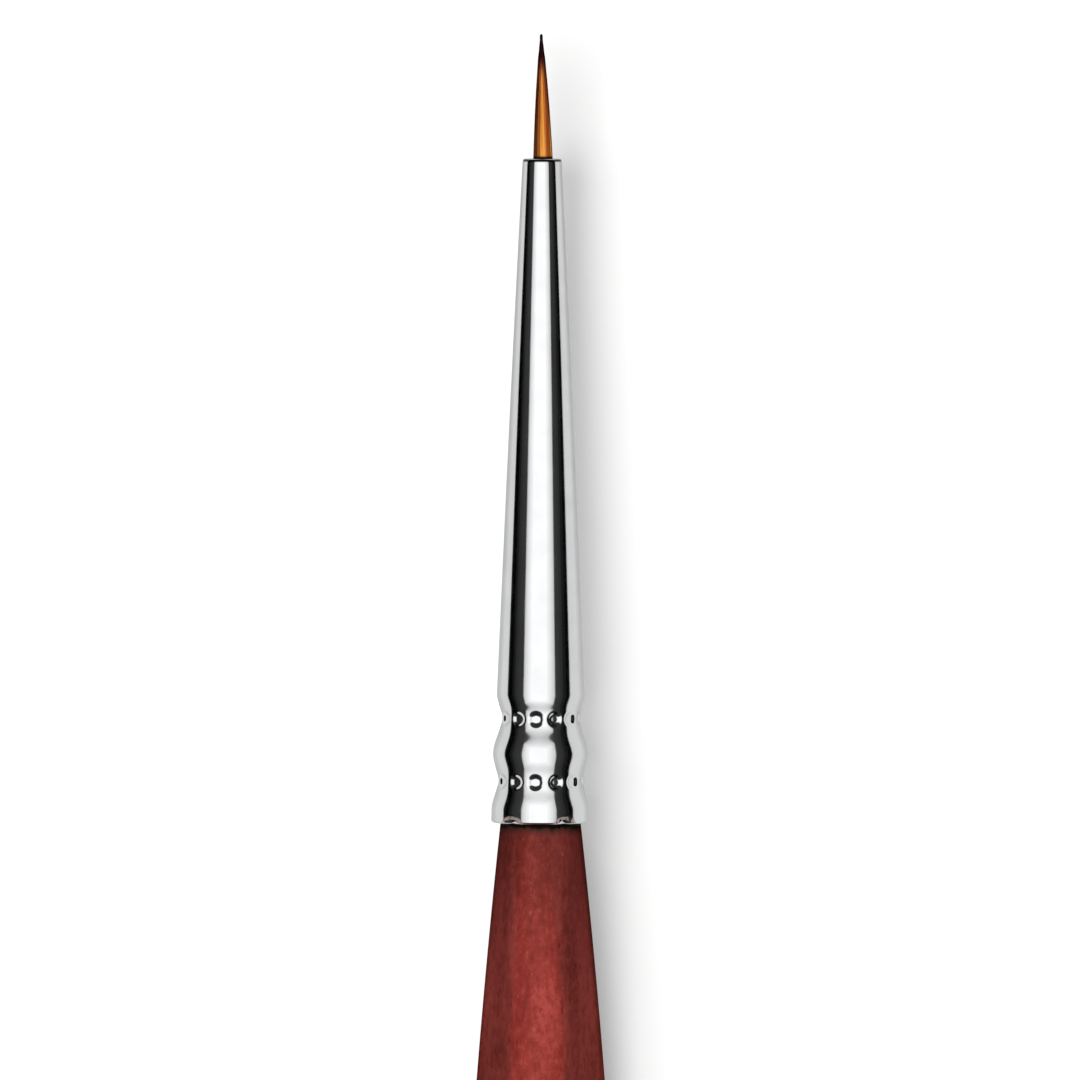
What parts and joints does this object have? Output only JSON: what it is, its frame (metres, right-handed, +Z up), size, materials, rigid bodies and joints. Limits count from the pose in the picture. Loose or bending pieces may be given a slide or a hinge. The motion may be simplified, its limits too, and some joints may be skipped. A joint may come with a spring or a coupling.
{
  "type": "fine detail brush",
  "caption": "Fine detail brush: a tiny pointed hair tuft in a crimped, bright metal ferrule on a dark red wooden handle with a rounded three-sided grip.",
  "frame": {"origin": "on the resting surface, under the middle of the brush's box", "axes": "+Y along the brush toward the tip of the tuft, +Z up from the flat of the grip that it lies on, +X to the right seen from above with the tip away"},
  "size_m": [0.0074, 0.185, 0.0069],
  "materials": {
    "stained_wood": "dark red stain under satin lacquer",
    "nickel": "bright nickel plate, polished",
    "hair": "soft sheen, golden brown with a dark point",
    "thread": "matte",
    "resin": "clear amber, glossy",
    "wood_glue": "dried, dull"
  },
  "bodies": {
    "brush": {"handle": "stained_wood", "ferrule": "nickel", "handle_glue": "wood_glue", "hair_root": "hair", "tying_thread": "thread", "hair_glue": "resin"},
    "tuft": {"hair_tip": "hair"}
  },
  "joints": [
    {"name": "tuft_bend", "type": "hinge", "parent": "brush", "child": "tuft", "pos_m": [0, 0.0875, 0.00284], "axis": [1, 0, 0], "range_deg": [-40, 40], "stiffness_Nm_per_rad": 0.0001}
  ]
}
